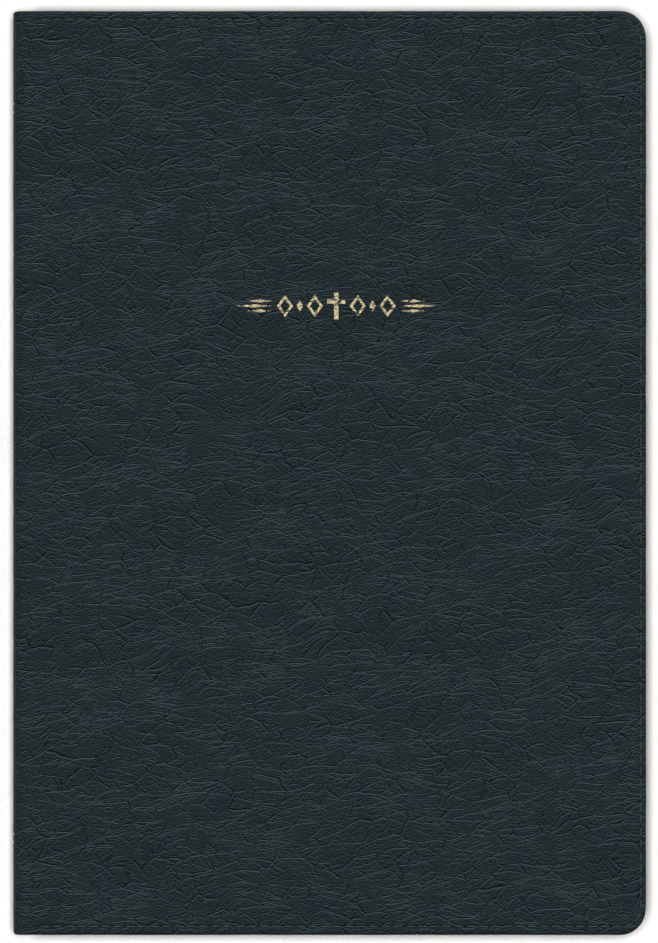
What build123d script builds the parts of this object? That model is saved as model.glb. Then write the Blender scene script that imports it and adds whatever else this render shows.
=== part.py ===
"""A leather-bound bible, closed and lying on its back cover.

+Z goes from the back cover up to the front cover, +Y from tail to head and +X from spine to fore edge.
The origin is the middle of the underside. All sizes are in millimetres.
"""

from build123d import *
import os
from math import sqrt

# The bound book
cover_height = 241.3
cover_width = 165.6
book_thickness = 38.0
cover_corner_radius = 6.8
edge_radius = 0.75

# The layers of a cover, from the outside in
leather_thickness = 0.8
board_thickness = 1.4
turn_in_thickness = 0.4
pastedown_thickness = 0.25
turn_in_width = 12.0

# The spine, whose back is slightly rounded
spine_bulge = 1.0
shoulder_radius = 2.8
least_shoulder_radius = 0.5
spine_lining_thickness = 0.3
mull_thickness = 0.3
sewing_gap = 0.4
joint_inset = 4.0
joint_gap = 0.3
board_setback = 1.5

# The text block
square = 3.15
page_corner_radius = 5.5
cover_clearance = 0.3
middle_gap = 0.7
leaf_gap = 0.05
end_leaf_thickness = 0.2
opening_leaf_thickness = 0.1
signatures_per_half = 14
fold_radius_share = 0.45

# Sewing through the folds
thread_diameter = 0.34
sewing_stations = 6
kettle_margin = 16.0
sewing_hole_gap = 3.0

# Head and tail bands
band_depth = 1.7
band_height = 1.9
band_radius = 0.6

# The ribbon marker
ribbon_width = 10.0
ribbon_thickness = 0.15
ribbon_from_folds = 9.0
ribbon_end_margin = 6.0

# Perimeter stitching, eight stitches to the inch
stitch_pitch = 25.4 / 8
stitch_length = 2.5
stitch_width = 0.55
stitch_thickness = 0.34
groove_width = 0.95
groove_depth = 0.4
stitch_inset_head = 2.2
stitch_inset_tail = 1.7
stitch_inset_fore = 1.3
stitch_corner_radius = 5.2

# The cloth flanges that hold the text block in its covers
flange_reach = 22.0
flange_thickness = 0.12

# The ornament stamped on the front cover: a cross, lozenges in a row, and a group of rules at each end
ornament_width = 52.0
ornament_height = 7.0
ornament_below_head = 77.0
ornament_from_spine = 84.7
foil_thickness = 0.08
open_lozenge = (4.2, 5.8)
lozenge_line = 0.8
small_lozenge = (1.8, 2.8)
lozenge_places = (5.6, 9.5, 13.4)
rule_start = 16.8
rule_spacing = 1.3
rule_width = 0.8
short_rule_share = 0.7

# The pairs of rules across the spine
spine_rule_width = 0.7
spine_rule_spacing = 2.2
spine_rule_inset = 24.0

# Places worked out from the sizes above
spine_x = -cover_width / 2
fore_x = cover_width / 2
head_y = cover_height / 2
middle_z = book_thickness / 2
joint_x = spine_x + joint_inset
cover_thickness = leather_thickness + board_thickness + turn_in_thickness
fold_inset = leather_thickness + spine_lining_thickness + mull_thickness + sewing_gap
page_width = cover_width - fold_inset - square
page_height = cover_height - 2 * square
half_block = (book_thickness - middle_gap) / 2 - cover_thickness - cover_clearance
signature_thickness = (half_block - 2 * end_leaf_thickness) / signatures_per_half
block_half_height = middle_gap / 2 + half_block

# The plane the binding's section is drawn on: across the book, with the middle of the spine at its origin
SECTION = Plane(origin=(0, 0, middle_z), x_dir=(1, 0, 0), z_dir=(0, -1, 0))


def turned_over(shape):
    """The same piece in the back half of the book: mirrored in the plane halfway up the spine."""
    return mirror(shape, about=Plane.XY.offset(middle_z))


def spine_radius(inset):
    """The radius of the rounded back of the spine, at a depth under the leather."""
    reach = book_thickness / 2 - inset
    return (reach**2 + spine_bulge**2) / (2 * spine_bulge)


def spine_face_x(inset, height):
    """Where the rounded back of the spine lies, at a depth and at a height off the middle."""
    radius = spine_radius(inset)
    return spine_x + inset + radius - sqrt(radius**2 - height**2)


def binding_outline(inset):
    """The section of the closed book along Y, set in from its surface, and open to the joint."""
    reach = book_thickness / 2 - inset
    radius = spine_radius(inset)
    left = spine_x + inset
    corner = max(shoulder_radius - inset, least_shoulder_radius)
    centre = Vector(left + radius - sqrt((radius - corner) ** 2 - (reach - corner) ** 2), reach - corner)
    outward = (centre - Vector(left + radius, 0)).normalized()
    touch = centre + outward * corner
    halfway = centre + (outward + Vector(0, 1)).normalized() * corner
    top = [
        ThreePointArc(touch, halfway, (centre.X, reach)),
        Line((centre.X, reach), (joint_x, reach)),
    ]
    outline = [
        *top,
        *[mirror(edge, about=Plane.XZ) for edge in top],
        ThreePointArc((touch.X, -touch.Y), (left, 0), touch),
        Line((joint_x, -reach), (joint_x, reach)),
    ]
    return make_face(outline)


def spine_layer(outer, inner, right, top, length, middle=0.0):
    """A layer that lines the front half of the spine, between two depths, up to a place and a height."""
    ring = binding_outline(outer) - binding_outline(inner)
    low = joint_gap / 2
    window = Pos((spine_x + right) / 2, (low + top) / 2) * Rectangle(right - spine_x, top - low)
    return Pos(0, middle, 0) * extrude(SECTION * (ring & window), length / 2, both=True)


def spine_rules():
    """Two pairs of foil rules across the back of the spine, one near the head and one near the tail."""
    right = spine_x + spine_bulge / 2
    top = book_thickness / 2 - shoulder_radius
    rules = []
    for end in (-1, 1):
        for step in (0, 1):
            middle = end * (head_y - spine_rule_inset - step * spine_rule_spacing)
            rules.append(spine_layer(0, foil_thickness, right, top, spine_rule_width, middle))
    return Compound(children=rules)


def spine_leather():
    right = joint_x - joint_gap / 2
    skin = spine_layer(0, leather_thickness, right, book_thickness / 2, cover_height)
    return skin - spine_rules()


def spine_lining():
    outer = leather_thickness
    right = spine_x + outer + spine_bulge + spine_lining_thickness
    return spine_layer(outer, outer + spine_lining_thickness, right, block_half_height, page_height)


def mull():
    outer = leather_thickness + spine_lining_thickness
    right = spine_x + outer + spine_bulge + mull_thickness
    length = page_height - kettle_margin
    return spine_layer(outer, outer + mull_thickness, right, block_half_height, length)


def band(side):
    """The worked band that covers the ends of the folds at the head (1) or the tail (-1)."""
    outer = leather_thickness + spine_lining_thickness
    right = spine_x + outer + spine_bulge + band_depth
    middle = side * (page_height + band_height) / 2
    top = block_half_height - spine_lining_thickness
    solid = spine_layer(outer, outer + band_depth, right, top, band_height, middle)
    rims = solid.faces().sort_by(Axis.Y)[-1 if side > 0 else 0].edges()
    long_rims = rims.sort_by(SortBy.LENGTH)[-2:]
    return fillet(long_rims, band_radius)


def page_stack(bottom, thickness, fold_radius=0.0):
    """A stack of leaves of the front half, square at the folds and with round corners at the fore edge."""
    fold_x = spine_face_x(fold_inset, bottom + thickness / 2 - middle_z)
    middle = Pos(fold_x + page_width / 2, 0, bottom + thickness / 2)
    stack = middle * Box(page_width, page_height, thickness)
    corners = stack.edges().filter_by(Axis.Z).group_by(Axis.X)[-1]
    stack = fillet(corners, page_corner_radius)
    if fold_radius:
        folds = stack.edges().filter_by(Axis.Y).group_by(Axis.X)[0]
        stack = fillet(folds, fold_radius)
    return stack


def signature_bottom(place):
    """The underside of the signature that is this many places above the middle of the book."""
    return middle_z + middle_gap / 2 + place * signature_thickness


def signature(place):
    return page_stack(signature_bottom(place), signature_thickness, fold_radius_share * signature_thickness)


def end_leaf(place):
    """A single leaf above the signatures: 0 lies on them, and 1 is the free endpaper above it."""
    bottom = signature_bottom(signatures_per_half) + place * end_leaf_thickness
    return page_stack(bottom, end_leaf_thickness)


def opening_leaf():
    """The leaf that lies against the front half where the book opens in the middle."""
    top = middle_z + middle_gap / 2 - leaf_gap
    return page_stack(top - opening_leaf_thickness, opening_leaf_thickness)


def sewing_thread():
    """The runs of thread along the outside of each fold, from one sewing station to the next."""
    run = (page_height - 2 * kettle_margin) / (sewing_stations - 1)
    stitch = Rot(90, 0, 0) * Cylinder(thread_diameter / 2, run - sewing_hole_gap)
    runs = []
    for place in range(signatures_per_half):
        fold_z = signature_bottom(place) + signature_thickness / 2
        fold_x = spine_face_x(fold_inset, fold_z - middle_z)
        for station in range(sewing_stations - 1):
            y = -page_height / 2 + kettle_margin + (station + 0.5) * run
            runs.append(Pos(fold_x - sewing_gap / 2, y, fold_z) * stitch)
    return Compound(children=runs)


def ribbon_marker():
    """The marker lies on the right-hand leaf of the opening, beside the folds, with its end tucked in."""
    length = page_height - ribbon_end_margin
    x = spine_face_x(fold_inset, 0) + ribbon_from_folds + ribbon_width / 2
    z = middle_z - middle_gap / 2 + leaf_gap + opening_leaf_thickness + ribbon_thickness / 2
    return Pos(x, ribbon_end_margin / 2, z) * Box(ribbon_width, length, ribbon_thickness)


def panel(left, right, bottom, top, radius):
    """A flat outline with round corners at its fore edge only."""
    face = Pos((left + right) / 2, (bottom + top) / 2) * Rectangle(right - left, top - bottom)
    corners = face.vertices().group_by(Axis.X)[-1]
    return fillet(corners, radius)


def cover_outline(inset, left):
    """A cover's outline, set in from its three free edges."""
    y = head_y - inset
    radius = max(cover_corner_radius - inset, cover_corner_radius / 2)
    return panel(left, fore_x - inset, -y, y, radius)


def slab(face, bottom, thickness):
    return Pos(0, 0, bottom) * extrude(face, thickness)


def stitch_outline(grow):
    """The line of the stitching, which runs off the outline at the joint, grown to either side."""
    return panel(
        joint_x - cover_corner_radius,
        fore_x - stitch_inset_fore + grow,
        -head_y + stitch_inset_tail - grow,
        head_y - stitch_inset_head + grow,
        stitch_corner_radius + grow,
    )


def cover_board():
    """The stiffener that the leather is turned in round."""
    bottom = book_thickness - leather_thickness - board_thickness
    return slab(cover_outline(leather_thickness, joint_x + board_setback), bottom, board_thickness)


def mull_flange():
    """The edge of the spine cloth, glued to the inside of the board under the pastedown."""
    left = joint_x + board_setback
    length = cover_height - 2 * turn_in_width - kettle_margin
    middle = Pos(left + flange_reach / 2, 0)
    bottom = book_thickness - leather_thickness - board_thickness - flange_thickness
    return slab(middle * Rectangle(flange_reach, length), bottom, flange_thickness)


def pastedown():
    """The endpaper leaf that is pasted to the board, over the flange and between the turn-ins."""
    bottom = book_thickness - leather_thickness - board_thickness - pastedown_thickness
    leaf = slab(cover_outline(turn_in_width, joint_x + board_setback), bottom, pastedown_thickness)
    return leaf - mull_flange()


def stitch_groove():
    ring = stitch_outline(groove_width / 2) - stitch_outline(-groove_width / 2)
    return slab(ring, book_thickness - groove_depth, groove_depth)


def cover_leather(stamped=False):
    """Leather over the board, turned in round its three free edges, and a single skin at the joint."""
    left = joint_x + joint_gap / 2
    inner_z = book_thickness - cover_thickness
    body = slab(cover_outline(0, left), inner_z, cover_thickness)
    rims = body.faces().filter_by(Plane.XY).edges().filter_by(lambda e: e.center().X > left + edge_radius)
    body = fillet(rims, edge_radius)
    board_z = inner_z + turn_in_thickness
    hollow = slab(cover_outline(leather_thickness, spine_x), board_z, board_thickness)
    window = slab(cover_outline(turn_in_width, spine_x), inner_z, turn_in_thickness)
    skin = Pos(joint_x, 0, inner_z) * Box(
        2 * board_setback,
        cover_height,
        turn_in_thickness + board_thickness,
        align=(Align.CENTER, Align.CENTER, Align.MIN),
    )
    body = body - hollow - window - skin - stitch_groove()
    if stamped:
        body -= cover_ornament()
    return body


def perimeter_stitching():
    """Straight stitches laid end to end in the groove, from the joint round to the joint again."""
    start, end = joint_x + stitch_pitch, fore_x - stitch_inset_fore
    top, bottom = head_y - stitch_inset_head, -head_y + stitch_inset_tail
    line = FilletPolyline((start, top), (end, top), (end, bottom), (start, bottom), radius=stitch_corner_radius)
    stitch = extrude(SlotOverall(stitch_length, stitch_width), stitch_thickness)
    count = int(line.length / stitch_pitch)
    stitches = []
    for number in range(count):
        share = (number + 0.5) / count
        point, along = line.position_at(share), line.tangent_at(share)
        place = Plane(origin=(point.X, point.Y, book_thickness - groove_depth), x_dir=along, z_dir=(0, 0, 1))
        stitches.append(place * stitch)
    return Compound(children=stitches)


def lozenge(width, height):
    return make_face(Polyline((-width / 2, 0), (0, height / 2), (width / 2, 0), (0, -height / 2), close=True))


def cover_ornament():
    """A plain cross between lozenges and tapering rules, stamped flush into the leather."""
    bar = ornament_height / 6
    cross = Rectangle(bar, ornament_height) + Pos(0, bar) * Rectangle(4 * bar, bar)
    width, height = open_lozenge
    inner_share = 1 - 2 * lozenge_line / width
    ring = lozenge(width, height) - lozenge(width * inner_share, height * inner_share)
    shapes = [cross]
    for side in (-1, 1):
        for place, motif in zip(lozenge_places, (ring, lozenge(*small_lozenge), ring)):
            shapes.append(Pos(side * place, 0) * motif)
        for level, share in ((1, short_rule_share), (0, 1), (-1, short_rule_share)):
            length = (ornament_width / 2 - rule_start) * share
            place = Pos(side * (rule_start + length / 2), level * rule_spacing)
            shapes.append(place * lozenge(length, rule_width))
    middle = Pos(spine_x + ornament_from_spine, head_y - ornament_below_head)
    foil = [slab(middle * shape, book_thickness - foil_thickness, foil_thickness) for shape in shapes]
    return Compound(children=foil)


def sub_parts():
    """Every sub-part by name."""
    parts = {
        "front_cover_leather": cover_leather(stamped=True),
        "front_cover_ornament": cover_ornament(),
        "back_cover_leather": turned_over(cover_leather()),
        "left_opening_leaf": opening_leaf(),
        "right_opening_leaf": turned_over(opening_leaf()),
        "ribbon_marker": ribbon_marker(),
    }
    pairs = {
        "cover_board": cover_board(),
        "cover_stitching": perimeter_stitching(),
        "pastedown": pastedown(),
        "mull_flange": mull_flange(),
        "free_endpaper": end_leaf(1),
        "blank_leaf": end_leaf(0),
        "spine_leather": spine_leather(),
        "spine_rules": spine_rules(),
        "spine_lining": spine_lining(),
        "spine_mull": mull(),
        "sewing_thread": sewing_thread(),
        "headband": band(1),
        "tailband": band(-1),
    }
    for name, shape in pairs.items():
        parts[f"front_{name}"] = shape
        parts[f"back_{name}"] = turned_over(shape)
    for place in range(signatures_per_half):
        sheets = signature(place)
        parts[f"signature_{signatures_per_half - place:02d}"] = sheets
        parts[f"signature_{signatures_per_half + 1 + place:02d}"] = turned_over(sheets)
    return parts


os.makedirs("parts", exist_ok=True)
for name, shape in sub_parts().items():
    export_step(shape, f"parts/{name}.step")
print(f"pages {page_width:.2f} x {page_height:.2f} mm, signature {signature_thickness:.3f} mm")
print(f"front hinge x {joint_x:.2f}, book hinge z {middle_z:.2f}")
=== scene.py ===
# %% [markdown]
# # A leather-bound bible
#
# The book lies closed on its back cover, spine to the left and head away from us. Its covers and its text
# block swing on three hinges: one at each cover joint, and one down the middle of the spine where it opens.
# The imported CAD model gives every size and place, so it is loaded first and nothing in it is moved.

# %% Load the frame
import math

import bmesh
import bpy
import numpy as np
from mathutils import Matrix, Vector


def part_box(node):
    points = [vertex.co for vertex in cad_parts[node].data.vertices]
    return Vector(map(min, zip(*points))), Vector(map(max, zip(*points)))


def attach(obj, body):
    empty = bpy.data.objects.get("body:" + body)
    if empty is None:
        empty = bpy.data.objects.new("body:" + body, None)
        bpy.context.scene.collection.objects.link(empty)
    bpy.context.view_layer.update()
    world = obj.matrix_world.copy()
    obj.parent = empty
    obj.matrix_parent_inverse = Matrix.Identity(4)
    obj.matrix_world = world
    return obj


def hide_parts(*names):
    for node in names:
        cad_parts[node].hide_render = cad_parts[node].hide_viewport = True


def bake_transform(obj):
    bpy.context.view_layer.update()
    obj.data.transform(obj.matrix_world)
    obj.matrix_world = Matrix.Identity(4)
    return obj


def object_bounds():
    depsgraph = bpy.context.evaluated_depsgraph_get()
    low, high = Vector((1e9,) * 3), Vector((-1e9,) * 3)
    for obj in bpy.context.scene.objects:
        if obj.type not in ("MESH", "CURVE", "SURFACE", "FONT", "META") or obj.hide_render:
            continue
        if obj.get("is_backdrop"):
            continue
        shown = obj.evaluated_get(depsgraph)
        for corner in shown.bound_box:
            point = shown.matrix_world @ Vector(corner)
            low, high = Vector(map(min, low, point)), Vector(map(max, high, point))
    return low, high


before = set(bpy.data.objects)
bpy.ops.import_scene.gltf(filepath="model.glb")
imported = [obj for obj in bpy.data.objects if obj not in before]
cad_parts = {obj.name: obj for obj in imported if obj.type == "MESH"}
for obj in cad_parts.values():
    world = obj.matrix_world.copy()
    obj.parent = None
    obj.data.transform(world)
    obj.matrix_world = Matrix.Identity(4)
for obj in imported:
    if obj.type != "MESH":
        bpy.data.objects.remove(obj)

cad_low, cad_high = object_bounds()
print("the bound book in mm:", [round(side * 1000, 1) for side in cad_high - cad_low])

# %% [markdown]
# ## Sizes
#
# Blender works in metres, and a bookbinder thinks in millimetres, so each size below is a plain number
# times MM. What the CAD knows is read from its own parts. Only what the binder's hand adds is written here
# as a number: how deep the thread pulls the leather down, how round its folded edge is.

# %% Sizes read from the CAD parts
MM = 0.001

leather_low, leather_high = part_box("front_cover_leather")
board_low, board_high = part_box("front_cover_board")
spine_low, spine_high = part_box("front_spine_leather")
pastedown_low, pastedown_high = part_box("front_pastedown")
endpaper_low, endpaper_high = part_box("front_free_endpaper")
top_leaf_low, top_leaf_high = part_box("signature_14")

spine_x, fore_x = spine_low.x, leather_high.x
head_y, top_z = leather_high.y, leather_high.z
middle_z = top_z / 2
joint_x = spine_high.x
skin = leather_high.z - board_high.z
cover_depth = leather_high.z - leather_low.z
turn_in = fore_x - pastedown_high.x
print(f"cover {cover_depth / MM:.2f} mm thick, leather {skin / MM:.2f} mm, turned in {turn_in / MM:.1f} mm")

# %% Sizes of the binder's work
shoulder = 2.8 * MM
bulge = 1.0 * MM
seam_angle = math.radians(33)
stitch_corner = 5.2 * MM
stitch_from_fore = 1.3 * MM
stitch_from_head = 2.2 * MM
stitch_from_tail = 2.2 * MM
mesh_step = 0.8 * MM

# The arc centres of the stitch line's corners bound a core, and every outline of the cover keeps its
# distance from that core.
core_x = fore_x - stitch_from_fore - stitch_corner
core_head = head_y - stitch_from_head - stitch_corner
core_tail = -head_y + stitch_from_tail + stitch_corner

# The shoulder of the spine is an arc whose centre lies under the joint.
spine_radius = (middle_z**2 + bulge**2) / (2 * bulge)
arc_z = top_z - shoulder
arc_x = spine_x + spine_radius - math.sqrt((spine_radius - shoulder) ** 2 - (middle_z - shoulder) ** 2)
seam_x = arc_x - shoulder * seam_angle
seam_degrees = math.degrees(seam_angle)
print(f"shoulder centre x {arc_x / MM:.2f}, the cover's skin ends {seam_degrees:.0f} degrees round it")

# %% [markdown]
# ## Helpers for working in edit mode
#
# An operator acts on whatever is selected, in the mode that is open. These helpers open one piece, select
# what lies in a certain place, and move it. They save the same five lines before every step.


# %% Select, move and finish
def open_piece(piece):
    """Makes a piece the only selected object, in object mode."""
    if bpy.context.object and bpy.context.object.mode != "OBJECT":
        bpy.ops.object.mode_set(mode="OBJECT")
    bpy.ops.object.select_all(action="DESELECT")
    piece.select_set(True)
    bpy.context.view_layer.objects.active = piece


def points_of(mesh):
    """The vertices' places as an array with a row for each."""
    flat = np.empty(len(mesh.vertices) * 3, np.float32)
    mesh.vertices.foreach_get("co", flat)
    return flat.reshape(-1, 3).astype(float)


def pick(piece, kind, test, rim=False):
    """Opens a piece in edit mode with only those vertices, edges or faces selected whose middles pass a
    test. With rim, only edges that have a face on one side."""
    open_piece(piece)
    mesh = piece.data
    places = points_of(mesh)
    if kind == "EDGE":
        ends = np.empty(len(mesh.edges) * 2, np.int32)
        mesh.edges.foreach_get("vertices", ends)
        places = places[ends].reshape(-1, 2, 3).mean(axis=1)
    elif kind == "FACE":
        flat = np.empty(len(mesh.polygons) * 3, np.float32)
        mesh.polygons.foreach_get("center", flat)
        places = flat.reshape(-1, 3).astype(float)
    chosen = test(*places.T)
    if rim:
        used = np.empty(len(mesh.loops), np.int32)
        mesh.loops.foreach_get("edge_index", used)
        chosen = chosen & (np.bincount(used, minlength=len(mesh.edges)) == 1)
    for name, elements in (("VERT", mesh.vertices), ("EDGE", mesh.edges), ("FACE", mesh.polygons)):
        elements.foreach_set("select", chosen if name == kind else np.zeros(len(elements), bool))
    bpy.context.tool_settings.mesh_select_mode = [name == kind for name in ("VERT", "EDGE", "FACE")]
    bpy.ops.object.mode_set(mode="EDIT")
    return int(chosen.sum())


def move_selected(piece, rule):
    """Moves each selected vertex of the piece that is open in edit mode to where a rule puts it."""
    shape = bmesh.from_edit_mesh(piece.data)
    for vertex in shape.verts:
        if vertex.select:
            vertex.co = rule(vertex.co)
    bmesh.update_edit_mesh(piece.data)


def move_all(piece, rule):
    """Moves all vertices at once: the rule takes the arrays x, y and z and gives new ones."""
    open_piece(piece)
    moved = np.stack(rule(*points_of(piece.data).T), axis=1)
    piece.data.vertices.foreach_set("co", moved.astype(np.float32).ravel())
    piece.data.update()


def clean(piece, merge=0.004 * MM):
    """Merges doubles and turns every face outwards."""
    pick(piece, "VERT", lambda x, y, z: x > -np.inf)
    bpy.ops.mesh.remove_doubles(threshold=merge)
    bpy.ops.mesh.normals_make_consistent(inside=False)
    bpy.ops.object.mode_set(mode="OBJECT")


def apply_modifiers(piece):
    """Applies every modifier of a piece, in order."""
    open_piece(piece)
    for modifier in list(piece.modifiers):
        bpy.ops.object.modifier_apply(modifier=modifier.name)


def smooth(piece, degrees=40):
    """Shades a piece smooth, but keeps the edges sharper than the angle."""
    open_piece(piece)
    bpy.ops.object.shade_smooth_by_angle(angle=math.radians(degrees))


def copy_of(piece, name):
    """A copy with a mesh of its own."""
    copy = piece.copy()
    copy.data = piece.data.copy()
    copy.name = copy.data.name = name
    bpy.context.scene.collection.objects.link(copy)
    return copy


def joined(pieces, name):
    """Joins pieces into the first one and gives it a name."""
    open_piece(pieces[0])
    for piece in pieces:
        piece.select_set(True)
    bpy.ops.object.join()
    made = bpy.context.object
    made.name = made.data.name = name
    return made


def easing(value, start, end):
    """Goes smoothly from 0 at the start to 1 at the end."""
    share = np.clip((value - start) / (end - start), 0, 1)
    return share * share * (3 - 2 * share)


# %% [markdown]
# ## Camera
#
# A flat cover is best seen square on. A long lens from far above takes the perspective away, so the sides
# of the book don't show past the cover, and the sheet fills the frame with a thin white margin. The
# distance follows from the height of the sheet that the frame takes in: distance is that height, times
# lens, over sensor.

# %% A long lens straight above the cover
FRAME_HEIGHT = 246.3 * MM
LENS = 600
SENSOR_WIDTH = 36
camera_data = bpy.data.cameras.new("camera")
camera_data.lens = LENS
camera_data.sensor_width = SENSOR_WIDTH
camera_data.sensor_fit = "AUTO"
camera_distance = FRAME_HEIGHT * LENS / SENSOR_WIDTH
camera = bpy.data.objects.new("camera", camera_data)
camera.location = (0.0 * MM, 0.40 * MM, top_z + camera_distance)
camera_data.clip_start, camera_data.clip_end = 0.1, camera_distance * 2
bpy.context.scene.collection.objects.link(camera)
bpy.context.scene.camera = camera
bpy.context.scene.view_settings.view_transform = "Standard"
print(f"the camera is {camera_distance:.2f} m above the cover")

# %% [markdown]
# ## Materials: the helpers
#
# Every material here is a small network of nodes, worked out from real sizes. One function adds a node
# with its settings and links. Another turns a colour from the hex code that a colour picker shows into the
# linear numbers that Blender mixes light with. A third starts a material with its shader, and the last two
# give a pattern its place and its size in millimetres.


# %% Node and colour helpers
def node(tree, kind, *values, out=0, stops=(), **settings):
    """Adds a node and gives back one of its outputs, or the node itself where out is None. The values fill
    its sockets in order, or by name where they come as a dictionary: each is a value to hold, or another
    node's output to link. Stops are a colour ramp's places and hex codes, and settings are the node's own
    options."""
    made = tree.nodes.new(kind)
    for name, setting in settings.items():
        setattr(made, name, setting)
    sockets = values[0] if values and isinstance(values[0], dict) else dict(enumerate(values))
    for name, value in sockets.items():
        if isinstance(value, bpy.types.NodeSocket):
            tree.links.new(value, made.inputs[name])
        else:
            made.inputs[name].default_value = value
    if stops:
        elements = made.color_ramp.elements
        while len(elements) < len(stops):
            elements.new(0.5)
        for element, (place, code) in zip(elements, stops):
            element.position = place
            element.color = colour(code)
    return made if out is None else made.outputs[out]


def colour(code):
    """An sRGB hex code such as #262D31 as linear red, green, blue and full opacity."""
    parts = [int(code[place : place + 2], 16) / 255 for place in (1, 3, 5)]
    linear = [part / 12.92 if part <= 0.04045 else ((part + 0.055) / 1.055) ** 2.4 for part in parts]
    return (*linear, 1.0)


def new_material(name):
    """A material with an empty network but for its shader and output. Returns it, its tree and the
    shader."""
    material = bpy.data.materials.new(name)
    material.use_nodes = True
    tree = material.node_tree
    return material, tree, tree.nodes["Principled BSDF"]


def coordinates(tree, attribute=None):
    """Where a point is on the piece, in millimetres: its own place, or an attribute that was stored on the
    mesh."""
    if attribute:
        source = node(tree, "ShaderNodeAttribute", out="Vector", attribute_name=attribute)
    else:
        source = node(tree, "ShaderNodeTexCoord", out="Object")
    scaled = node(
        tree, "ShaderNodeVectorMath", {0: source, "Scale": 1 / MM}, out="Vector", operation="SCALE"
    )
    return scaled


def stretched(tree, place, size, turn=0.0):
    """Coordinates that count in steps of size, given in mm along each axis, after a turn about Z."""
    turned = node(
        tree,
        "ShaderNodeVectorRotate",
        {"Vector": place, "Angle": math.radians(turn)},
        rotation_type="Z_AXIS",
    )
    steps = node(tree, "ShaderNodeVectorMath", turned, size, out="Vector", operation="DIVIDE")
    return steps


# %% [markdown]
# ## Floor and light
#
# The book lies on a white sheet. A lamp beyond the head rakes across the cover, so that every crease of
# the leather gets a dark side and a light one, and a weak one overhead fills in. The leather's colour also
# has painted shade in its creases and on the crease walls that face away from the lamp, and a painted
# highlight on the walls that face it. The raking lamp would throw a long shadow on the sheet, so it shines
# on everything but the sheet, and the sheet has a lamp of its own straight above it. The sheet's colour is
# darkened by ambient occlusion within a few millimetres of the book, a painted shadow which makes the thin
# soft edge all round. Rays from the camera see a white sky, and so do rays that pass through something
# clear. All others see a dim one, which lights the sides of the book.


# %% The white sheet
def make_floor():
    """Matt white paper: it takes light evenly and has no shine, and its colour has a painted shadow close to
    the book.
    """
    bpy.ops.mesh.primitive_plane_add(size=60, location=(0, 0, -0.01 * MM))
    floor = bpy.context.object
    floor.name = "floor"
    material, tree, shader = new_material("white paper sheet")
    # Painted shadow: ambient occlusion darkens the paper's colour within a few millimetres of the book.
    near = node(tree, "ShaderNodeAmbientOcclusion", {"Distance": 3.2 * MM}, out="AO", samples=8)
    shaded = node(tree, "ShaderNodeMath", near, 2.4, operation="POWER")
    paper_with_painted_shadow = node(
        tree,
        "ShaderNodeVectorMath",
        {0: colour("#BCBCBC")[:3], "Scale": shaded},
        out="Vector",
        operation="SCALE",
    )
    tree.links.new(paper_with_painted_shadow, shader.inputs["Base Color"])
    shader.inputs["Roughness"].default_value = 0.9
    shader.inputs["Specular IOR Level"].default_value = 0.0
    floor.data.materials.append(material)
    floor.visible_glossy = False
    floor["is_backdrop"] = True
    return floor


# %% The sky and the lamps
def make_world(ambient=0.32):
    world = bpy.data.worlds.new("studio")
    bpy.context.scene.world = world
    world.use_nodes = True
    tree = world.node_tree
    background = tree.nodes["Background"]
    background.inputs["Color"].default_value = (1, 1, 1, 1)
    path = node(tree, "ShaderNodeLightPath", out=None)
    seen = node(
        tree,
        "ShaderNodeMath",
        path.outputs["Is Camera Ray"],
        path.outputs["Is Transmission Ray"],
        operation="MAXIMUM",
    )
    strength = node(tree, "ShaderNodeMath", seen, 1 - ambient, ambient, operation="MULTIPLY_ADD")
    tree.links.new(strength, background.inputs["Strength"])


def make_sun(name, strength, width, azimuth, elevation):
    """A lamp at a direction, given as a compass angle from +Y and a height above the horizon, in degrees."""
    data = bpy.data.lights.new(name, "SUN")
    data.energy = strength
    data.angle = math.radians(width)
    lamp = bpy.data.objects.new(name, data)
    lamp.rotation_mode = "XYZ"
    lamp.rotation_euler = (math.radians(elevation - 90), 0, math.radians(-azimuth))
    bpy.context.scene.collection.objects.link(lamp)
    return lamp


def light_only(lamp, piece, only):
    """Makes a lamp shine on one piece only, or on everything but that piece. Its shadows stay."""
    linked = bpy.data.collections.new(lamp.name)
    linked.objects.link(piece)
    linked.collection_objects[0].light_linking.link_state = "INCLUDE" if only else "EXCLUDE"
    lamp.light_linking.receiver_collection = linked


floor = make_floor()
make_world()
make_sun("overhead lamp", strength=0.55, width=7, azimuth=0, elevation=90)
sheet_lamp = make_sun("sheet lamp", strength=5.1, width=7, azimuth=0, elevation=90)
light_only(sheet_lamp, floor, only=True)
raking_lamp = make_sun("raking lamp", strength=3.4, width=10, azimuth=0, elevation=27)
raking_lamp.visible_glossy = False
light_only(raking_lamp, floor, only=False)
for lamp in (sheet_lamp, raking_lamp):
    print(f"{lamp.name}: strength {lamp.data.energy:.2f}, {math.degrees(lamp.data.angle):.0f} degrees wide")

# %% [markdown]
# ## The leather's relief
#
# Bonded leather is ground leather pressed on a cloth backing, then embossed with a grain and dyed. The
# grain here runs across the book in long, thin, wavy creases that rise a little to the right, with
# lens-shaped pillows between them. The same skin covers both covers and the spine, so its pattern is drawn
# on one long developed sheet: each leather piece stores where its vertices lie on that sheet, as an
# attribute that its bending at the hinges doesn't change. The wide swells are real geometry, made with a
# small Geometry Nodes tree, and everything finer than the mesh is bump in the material.


# %% Where each point lies on the developed sheet
def store_sheet_place(piece):
    """Stores the attribute sheet_place: how far across the book and round its spine, and how far along
    it."""
    x, y, z = points_of(piece.data).T
    across = np.where(z > middle_z, x + z, z - x + 2 * spine_x)
    over_edge = np.minimum(np.minimum(z, top_z - z), cover_depth)
    along = y * (1 + over_edge / head_y)
    place = np.stack([across, along, np.zeros_like(x)], axis=1).astype(np.float32)
    attribute = piece.data.attributes.new("sheet_place", "FLOAT_VECTOR", "POINT")
    attribute.data.foreach_set("vector", place.ravel())


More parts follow.
